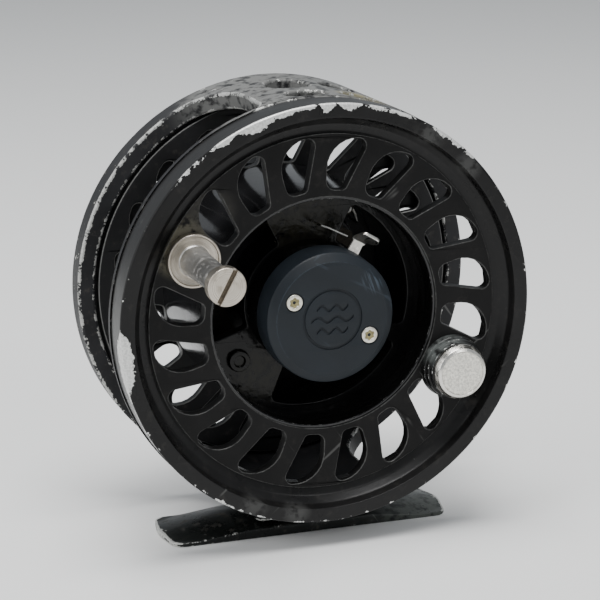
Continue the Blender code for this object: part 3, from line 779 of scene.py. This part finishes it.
def make_cap():
    """The blue-grey cap, engraved with three waves in a ring."""
    blue_grey = plastic("cap_blue_grey", (0.009, 0.012, 0.0155))
    engraving = CAP_FRONT + 0.28
    body = [
        (0, engraving, 0),
        (11.72, engraving, 0),
        (11.72, CAP_FRONT, -0.05),
        (12.0, CAP_FRONT, 0.12),
        (13.75, 0.35, 0.6),
        (14.0, 6.4, 0.2),
        (12.7, 6.4, 0.1),
        (12.7, 1.6, 0),
        (0, 1.6, 0),
    ]
    mesh = lathe("cap_shell", body, closed=False, step=0.4, bare=cap_edge_highlight)
    piece("cap_shell", mesh, blue_grey, "spool", "cap_plastic", "hub_cap")
    x, height = CAP_SCREW
    seats = [ring(2.0, 48, (-x, height)), ring(2.0, 48, (x, -height))]
    waves = [wave(y, half, 0.55, 0.3) for y, half in ((2.4, 3.4), (0, 4.6), (-2.4, 3.4))]
    outlines = [ring(11.75, 200)] + seats + [ring(6.5, 120), ring(5.9, 120)] + waves
    mesh = flat_piece("cap_face", outlines, CAP_FRONT, engraving + 0.04, 0.05, -0.25, margin=0)
    piece("cap_face", mesh, blue_grey, "spool", "cap_plastic")


def make_cap_screws():
    """Two button heads, each with a rusty recess of ten lobes."""
    steel = brushed("screw_steel", (0.78, 0.75, 0.66), 0.35, stain=0.2)
    rust = plain("screw_recess_rust", (0.36, 0.31, 0.15), 0.7, 0.0, 2500)
    x, height = CAP_SCREW
    lobes = [Vector(polar(6 * i, 0.98 + 0.12 * math.cos(math.radians(36 * i)))) for i in range(60)]
    outlines = [ring(1.72, 64), lobes]
    well = [(0, -0.55, 0), (1.2, -0.8, 0), (1.2, 0.4, 0), (0, 0.4, 0)]
    for side, node in ((-1, "cap_screw_left"), (1, "cap_screw_right")):
        centre = (side * x, -side * height)
        mesh = flat_piece(node + "_head", outlines, -0.98, -0.3, 0.14, -0.3, centre=centre, margin=0)
        piece(node + "_head", mesh, steel, "spool", "screw_steel", node)
        mesh = lathe(node + "_recess", well, centre, 40, closed=False)
        piece(node + "_recess", mesh, rust, "spool", "screw_steel")


def make_release():
    """The catch: a flat ring and stem whose end bends forward into a wide tab to press."""
    nickel = brushed("latch_nickel", (0.74, 0.72, 0.67), 0.3, stain=0.3)
    ring_place, ring_radius, stem_half = -0.8, 6.4, 1.55
    stem_turn = math.degrees(math.asin(stem_half / ring_radius))
    sweep = [stem_turn + (360 - 2 * stem_turn) * i / 60 for i in range(61)]
    catch = [Vector(polar(a, ring_radius)) + Vector((0, ring_place)) for a in sweep]
    corners = [
        (-stem_half, 16.2),
        (-1.5, 21.0),
        (3.1, 21.0),
        (3.1, 18.3),
        (stem_half, 17.3),
        (stem_half, 16.0),
    ]
    shape = catch + outline(corners, [0.3, 0.9, 1.6, 1.2, 0.3, 0.3])
    work = filled([shape, ring(3.5, 48, (0, ring_place))], 0.7, 0.16, -0.3, 0)
    for i in range(60):
        slice_at(work, (0, 16 + 0.1 * i, 0), (0, 1, 0))
    stem_depth, bend_start, bend_radius, bend = 6.15, 16.3, 0.8, math.radians(64)
    spin = Matrix.Rotation(math.radians(-LATCH_ANGLE), 2)
    for vert in work.verts:
        x, along, z = vert.co
        turn = min(max((along - bend_start) / bend_radius, 0.0), bend)
        rest = max(0.0, along - bend_start - bend_radius * turn) if turn else along - bend_start
        sine, cosine = math.sin(turn), math.cos(turn)
        out = bend_start + bend_radius * sine + rest * cosine - z * sine
        lift = bend_radius * (1 - cosine) + rest * sine + z * cosine
        place = spin @ Vector((x, out))
        vert.co = (place.x, place.y, stem_depth - lift)
    piece("catch", mesh_from(work, "catch"), nickel, "release", "nickel", "release_lever")


def make_handle():
    """The handle's post, bare of its grip: a stepped collar, a tapered stem and a slotted head."""
    axis = (*HANDLE, 0)
    nickel = brushed("handle_nickel", (0.56, 0.51, 0.44), 0.33, axis, stain=0.25)
    dull = brushed("post_nickel", (0.5, 0.49, 0.47), 0.42, axis, stain=0.06, grain=0.03, marked=0.05)
    dark = plain("slot_grime_and_shade", (0.13, 0.1, 0.065), 0.7, 0.0, 1500)
    collar = [
        (2.6, 1.9, 0),
        (3.6, 1.9, -0.1),
        (4.95, 1.62, -0.1),
        (5.1, 1.36, 0.08),
        (5.45, 1.36, 0.14),
        (5.6, 1.7, 0.1),
        (5.6, 3.1, 0.1),
        (2.6, 3.1, 0),
    ]
    mesh = lathe("post_collar", collar, HANDLE, 128, step=0.4)
    piece("post_collar", mesh, nickel, "spool", "nickel", "handle_flange")
    stem = [
        (0, -17.2, 0),
        (2.5, -17.2, 0),
        (2.85, -16.2, 0.2),
        (2.85, -15.2, 0.1),
        (2.7, -14.8, -0.2),
        (3.1, 1.2, -0.1),
        (3.35, 1.45, 0.1),
        (3.0, 2.2, 0),
        (0, 2.2, 0),
    ]
    mesh = lathe("post_stem", stem, HANDLE, 96, closed=False)
    piece("post_stem", mesh, dull, "spool", "nickel", "handle_post")
    head_radius, slot_half, slot_turn = 3.83, 0.44, -62
    limit = math.degrees(math.acos(slot_half / head_radius))
    upper = [Vector(polar(-limit + limit * i / 20, head_radius)) for i in range(41)]
    halves = [upper, [-p for p in upper]]
    mesh = flat_piece("post_head", halves, -20.5, -19.3, 0.2, -0.3, slot_turn, HANDLE, margin=0)
    piece("post_head", mesh, nickel, "spool", "nickel")
    # A dark brown disc at the slot's floor: grime, and painted shade deep in the narrow slot.
    slot_floor = [(0, -19.85, 0), (3.5, -19.85, 0), (3.5, -19.4, 0), (0, -19.4, 0)]
    mesh = lathe("post_slot", slot_floor, HANDLE, 64, closed=False)
    piece("post_slot", mesh, dark, "spool", "nickel")
    neck = [
        (3.4, -19.6, 0),
        (head_radius, -19.6, 0),
        (head_radius, -17.9, 0.3),
        (2.7, -17.0, 0),
        (2.0, -17.0, 0),
        (3.4, -18.0, 0),
    ]
    mesh = lathe("post_neck", neck, HANDLE, 96)
    piece("post_neck", mesh, nickel, "spool", "nickel")


def make_counterweight():
    """A grained silver slug with a bright rim, in a black stepped housing."""
    silver = brushed("weight_rim_silver", (0.8, 0.78, 0.73), 0.24, (*COUNTER, 0), (0.3, 0.22, 0.15), 0.2)
    grain = sparkling("weight_grain", (0.96, 0.93, 0.84))
    scuffed = [(world(COUNTER[0] - 3, COUNTER[1] + 5, 1), 0.002, 0.006, (0.12, 0.13, 0.125), 0.8)]
    black = anodised(
        "weight_housing_black",
        (0.008, 0.008, 0.008),
        0.3,
        dust=0.15,
        scuffs=0.04,
        coarse=0.7,
        fine=0.4,
        tinted_patches=scuffed,
    )
    rim = [
        (4.6, -2.75, 0),
        (4.75, -2.98, 0.08),
        (5.35, -2.62, 0.3),
        (5.9, -1.6, 0.3),
        (5.9, -0.9, 0),
        (5.0, -0.9, 0),
        (5.0, 1.2, 0),
        (4.6, 1.2, 0),
    ]
    mesh = lathe("weight_rim", rim, COUNTER, 128, step=0.3)
    piece("weight_rim", mesh, silver, "spool", "grained_silver", "counterweight")
    disc = [(0, -3.0, 0), (4.4, -2.95, -0.2), (4.7, -2.8, 0), (4.7, 1.0, 0), (0, 1.0, 0)]
    mesh = lathe("weight_face", disc, COUNTER, 96, closed=False, step=0.25)
    piece("weight_face", mesh, grain, "spool", "grained_silver", "counterweight")
    housing = [
        (5.3, -0.55, 0),
        (5.6, -0.62, 0),
        (6.0, -0.6, 0.15),
        (6.05, 0.55, -0.1),
        (6.4, 0.7, 0.12),
        (6.5, 1.8, -0.1),
        (6.7, 2.0, 0.12),
        (6.9, 3.6, 0),
        (5.3, 3.6, 0),
    ]
    mesh = lathe("weight_housing", housing, COUNTER, 128, step=0.3)
    piece("weight_housing", mesh, black, "spool", "black_anodised", "counterweight_housing")


# Frame.


def window(start, end):
    """A side window of the cage, as (degrees, depth), with the corners rounded in millimetres."""
    scale = math.radians(1) * FRAME_RADIUS
    left, right, front, back = start * scale, end * scale, 7.9, RING_FRONT
    front_rounding, back_rounding = 5.0, 12.0
    corners = [(left, front), (right, front), (right, back), (left, back)]
    points = outline(corners, [front_rounding] * 2 + [back_rounding] * 2, 12)
    return [Vector((p.x / scale, p.y)) for p in points]


def wall_wear(angle, depth):
    """Bare metal on the cage's outer face: down the left of the back ring, and by the top window."""
    left = bump((angle + 360) % 360, 290, 75, 0.75) * min(1.0, max(0.0, (depth - 33) / 4))
    corner = bump(angle, -16, 9, 0.45)
    return left + corner - 0.25


def make_cage_wall():
    """The bands and both rings as one wall round the axis, with two windows and four oval ports."""
    olive = (0.2, 0.18, 0.11)
    grey = (0.15, 0.15, 0.145)
    top, olive_port = polar(0, FRAME_RADIUS), polar(TOP_PORT_ANGLES[1], FRAME_RADIUS)
    front_row, back_row = 13.2, 26
    # The wide grey patch over the top of the cage is dust and painted sheen: it lightens the top band as
    # light from above would. The olive patch is dirt round a port.
    tinted_patches = [
        (world(*top, 22), 0.022, 0.03, grey, 0.9),
        (world(*olive_port, front_row), 0.003, 0.0065, olive, 0.95),
    ]
    black = anodised(
        "frame_wall_black",
        (0.014, 0.014, 0.015),
        0.5,
        dust=0.4,
        coarse=3.0,
        fine=1.6,
        tinted_patches=tinted_patches,
        bare=(0.5, 0.5, 0.48),
        relief=0.00008,
    )
    strip = [(-200, BAND_FRONT), (200, BAND_FRONT), (200, FRAME_BACK), (-200, FRAME_BACK)]
    windows = [window(TOP_BAND[1], FOOT_BAND[0]), window(FOOT_BAND[1] - 360, TOP_BAND[0])]
    ports = []
    across = 4.7 / (math.radians(1) * FRAME_RADIUS)
    for angle in TOP_PORT_ANGLES:
        for depth, along in ((front_row, 3.5), (back_row, 5.8)):
            ports.append([Vector((angle + p.x * across, depth + p.y * along)) for p in ring(1, 48)])
    outlines = [strip] + windows + ports
    mesh = wrapped("cage_wall", outlines, FRAME_INNER, FRAME_RADIUS, 0.5, wall_wear)
    piece("cage_wall", mesh, black, "frame", "worn_black_frame", "frame_top_band", "frame_foot_band")


def make_cage_plates():
    """The front ring's inner lip, the ported back plate with the drag's recess, and its boss."""
    base, worn = (0.009, 0.009, 0.0095), (0.2, 0.2, 0.2)
    black = anodised("frame_plate_black", base, 0.45, dust=0.25, coarse=0.8, fine=0.5, bare=worn)
    front = [(FRAME_INNER, 5.2, 0.2), (42.7, 5.2, 0.2), (42.7, 8.9, 0), (FRAME_INNER, 8.9, 0.2)]
    mesh = lathe("cage_front", front, segments=360)
    piece("cage_front", mesh, black, "frame", "worn_black_frame", "frame_front_ring")
    plate_back = FRAME_BACK - 0.1
    slots = [slot_outline(angle, PORT_INNER, 36.4, 6.5) for angle in BACK_PORTS]
    outlines = [ring(41.6, 360), ring(RECESS_RADIUS, 160)] + slots
    mesh = flat_piece("cage_back", outlines, BACK_FRONT, plate_back, 0.4, -0.05)
    piece("cage_back", mesh, black, "frame", "worn_black_frame", "frame_back")
    boss = [
        (3.3, RECESS_FRONT, 0),
        (20.5, RECESS_FRONT, 0),
        (20.5, FRAME_BACK - 0.4, 0),
        (18.8, plate_back, 0),
        (17.6, 42.0, 0.3),
        (8.6, 42.0, -0.4),
        (8.0, 43.4, 0),
        (8.0, 46.4, 0.3),
        (3.3, 46.4, 0.2),
    ]
    mesh = lathe("cage_boss", boss, segments=160)
    piece("cage_boss", mesh, black, "frame", "worn_black_frame", "frame_back")


def mesh_in_place(work, name, lift=0.0):
    """A mesh from a bmesh drawn in millimetres along the world's own axes, then lifted."""
    mesh = bpy.data.meshes.new(name)
    work.to_mesh(mesh)
    work.free()
    mesh.transform(Matrix.Translation((0, 0, lift * MM)) @ Matrix.Scale(MM, 4))
    return smooth(mesh)


def make_foot():
    """A thin saddle, thicker in the middle and crowned across, and the pad between it and the cage."""
    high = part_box("reel_foot")[1]
    half_length, half_width = high.x / MM, high.y / MM
    right_end = Vector((high.x, 0, high.z))
    black = anodised(
        "foot_black",
        (0.006, 0.007, 0.0065),
        0.3,
        dust=0.5,
        coarse=3.0,
        fine=1.4,
        tinted_patches=[(right_end, 0.012, 0.024, (0.075, 0.082, 0.074), 1.0)],
        bare=(0.62, 0.62, 0.59),
        relief=0.0001,
        shine=0.25,
    )
    bulge = 1.6
    corners = [
        (-half_length + bulge, -half_width),
        (-half_length, 0),
        (-half_length + bulge, half_width),
        (half_length - bulge, half_width),
        (half_length, 0),
        (half_length - bulge, -half_width),
    ]
    work = filled([outline(corners, [2.6, 14, 2.6] * 2)], 2.0, 0.3, -0.05)
    for i in range(-34, 35):
        slice_at(work, (i, 0, 0), (1, 0, 0))
        slice_at(work, (0, i / 4, 0), (0, 1, 0))
    layer = work.verts.layers.float["bare"]
    flat_half, thick, end_thick, crown = 13.5, high.z / MM, 1.25, 30.0
    for vert in work.verts:
        x, y, z = vert.co
        slope = max(0.0, (abs(x) - flat_half) / (half_length - flat_half))
        ends = max(0.0, slope - 0.74) * 5.5
        front = max(0.0, -y / half_width - 0.6) * min(1.0, max(0.0, -x / 12 - 1))
        vert[layer] += ends + 1.4 * front - 0.45
        top = thick - (thick - end_thick) * slope
        top -= crown - math.sqrt(crown**2 - y**2)
        vert.co = (x, y, (z + 1) / 2 * max(top, 0.9))
    bmesh.ops.recalc_face_normals(work, faces=work.faces)
    mesh = mesh_in_place(work, "foot_saddle")
    piece("foot_saddle", mesh, black, "frame", "worn_black_foot", "reel_foot")
    corners = [(-12.5, -7.8), (12.5, -7.8), (12.5, 7.8), (-12.5, 7.8)]
    pad = filled([outline(corners, [1.5] * 4)], 5.6, 0.4, -0.05)
    mesh = mesh_in_place(pad, "foot_pad", 6.25)
    piece("foot_pad", mesh, black, "frame", "worn_black_frame", "frame_foot_band")


def make_knob():
    """The drag knob: a grip with ten flutes, its floor and the metal cap of its screw."""
    base = (0.009, 0.009, 0.0095)
    black = anodised("knob_black", base, 0.33, dust=0.12, scuffs=0.03, coarse=0.6, fine=0.4)
    metal = brushed("knob_cap_metal", (0.6, 0.6, 0.6), 0.28, (0, 0, 0), stain=0.1)
    points = []
    for i in range(300):
        angle = 1.2 * i
        away = (angle - 4.5 + 18) % 36 - 18
        points.append(Vector(polar(angle, 13.5 - 1.1 * math.exp(-((away / 7.5) ** 4)))))
    mesh = flat_piece("knob_grip", [points, ring(9.7, 120)], 43.9, 54.1, 0.8, -0.05)
    piece("knob_grip", mesh, black, "drag_knob", "black_anodised", "drag_knob")
    floor = [(0, 50.8, 0), (9.9, 50.8, 0), (9.9, 53.0, 0), (0, 53.0, 0)]
    mesh = lathe("knob_floor", floor, closed=False, step=2)
    piece("knob_floor", mesh, black, "drag_knob", "black_anodised", "drag_knob")
    cap = [
        (0, 53.2, 0),
        (9.3, 53.2, 0),
        (9.3, 54.3, 0.35),
        (6.2, 54.3, 0.15),
        (5.9, 54.0, 0),
        (0, 54.0, 0),
    ]
    mesh = lathe("knob_disc", cap, segments=160, closed=False)
    piece("knob_disc", mesh, metal, "drag_knob", "knob_aluminium", "knob_cap")


def dress_cad_nodes():
    """Finishes for the CAD nodes that are shown as they are."""
    steel = brushed("inner_steel", (0.55, 0.55, 0.54), 0.3, (0, 0, 0), stain=0.2)
    wire = brushed("spring_wire_steel", (0.7, 0.68, 0.64), 0.25, stain=0.15)
    inner = plain("inner_black", (0.03, 0.03, 0.031), 0.35, 0.4)
    bronze = plain("sintered_bronze", (0.045, 0.036, 0.026), 0.6, 0.5, 1800)
    cork = plain("cork_grain", (0.05, 0.036, 0.022), 0.85, 0.0, 700, 0.0002)
    by_slot = {
        "stainless": steel,
        "nickel": wire,
        "spring_steel": wire,
        "inner_aluminium": inner,
        "bronze": bronze,
        "cork": cork,
    }
    slots = {part["node"]: part["material_slot"] for part in frame["record"]["subparts"]}
    for name, node in frame["nodes"].items():
        if node.hide_render:
            continue
        node.data.materials.clear()
        node.data.materials.append(by_slot[slots[name]])


# Stage.


def area_light(name, place, aim, size, power):
    light = bpy.data.lights.new(name, "AREA")
    light.shape = "RECTANGLE"
    light.size, light.size_y = size
    light.energy = power
    obj = bpy.data.objects.new(name, light)
    bpy.context.scene.collection.objects.link(obj)
    obj.location = place
    obj.rotation_mode = "QUATERNION"
    obj.rotation_quaternion = (Vector(aim) - Vector(place)).to_track_quat("-Z", "Y")


def make_stage():
    mesh = bpy.data.meshes.new("studio_floor")
    half = 6.0
    corners = [(-half, -half, 0), (half, -half, 0), (half, half, 0), (-half, half, 0)]
    mesh.from_pydata(corners, [], [(0, 1, 2, 3)])
    floor = bpy.data.objects.new("studio_floor", mesh)
    bpy.context.scene.collection.objects.link(floor)
    mesh.materials.append(floor_paint("pale_floor", (0.8, 0.8, 0.79)))
    centre = (0, 0, AXIS_Z)
    area_light("overhead", (-0.05, -0.12, 0.95), centre, (0.5, 0.5), 12)
    area_light("left", (-0.8, -0.1, 0.35), centre, (0.5, 0.6), 3.5)
    area_light("front", (0.35, -0.9, 0.7), centre, (0.4, 0.3), 2.0)
    sky = bpy.data.worlds.new("studio")
    sky.use_nodes = True
    sky.node_tree.nodes["Background"].inputs[0].default_value = (0.9, 0.95, 1, 1)
    sky.node_tree.nodes["Background"].inputs[1].default_value = 0.45
    bpy.context.scene.world = sky


def make_camera():
    """The main view of the reel, from the left of its front and a little above."""
    azimuth, elevation, roll = math.radians(-19.4), math.radians(14.83), math.radians(0.24)
    distance = 406.84 * MM
    target = world(-6.77, 4.41, 0)
    sine, cosine = math.sin(azimuth), math.cos(azimuth)
    back = Vector((sine * math.cos(elevation), -cosine * math.cos(elevation), math.sin(elevation)))
    right = Vector((cosine, sine, 0))
    up = back.cross(right)
    data = bpy.data.cameras.new("camera")
    data.sensor_width = 36
    data.lens = 120
    camera = bpy.data.objects.new("camera", data)
    bpy.context.scene.collection.objects.link(camera)
    tilted_right = right * math.cos(roll) + up * math.sin(roll)
    tilted_up = up * math.cos(roll) - right * math.sin(roll)
    camera.matrix_world = Matrix.Translation(target + back * distance) @ Matrix(
        (tilted_right, tilted_up, back)
    ).transposed().to_4x4()
    bpy.context.scene.camera = camera


make_camera()
make_rim()
make_face()
make_arbor()
make_cup()
make_flange()
make_cap()
make_cap_screws()
make_release()
make_handle()
make_counterweight()
make_cage_wall()
make_cage_plates()
make_foot()
make_knob()
dress_cad_nodes()
make_stage()
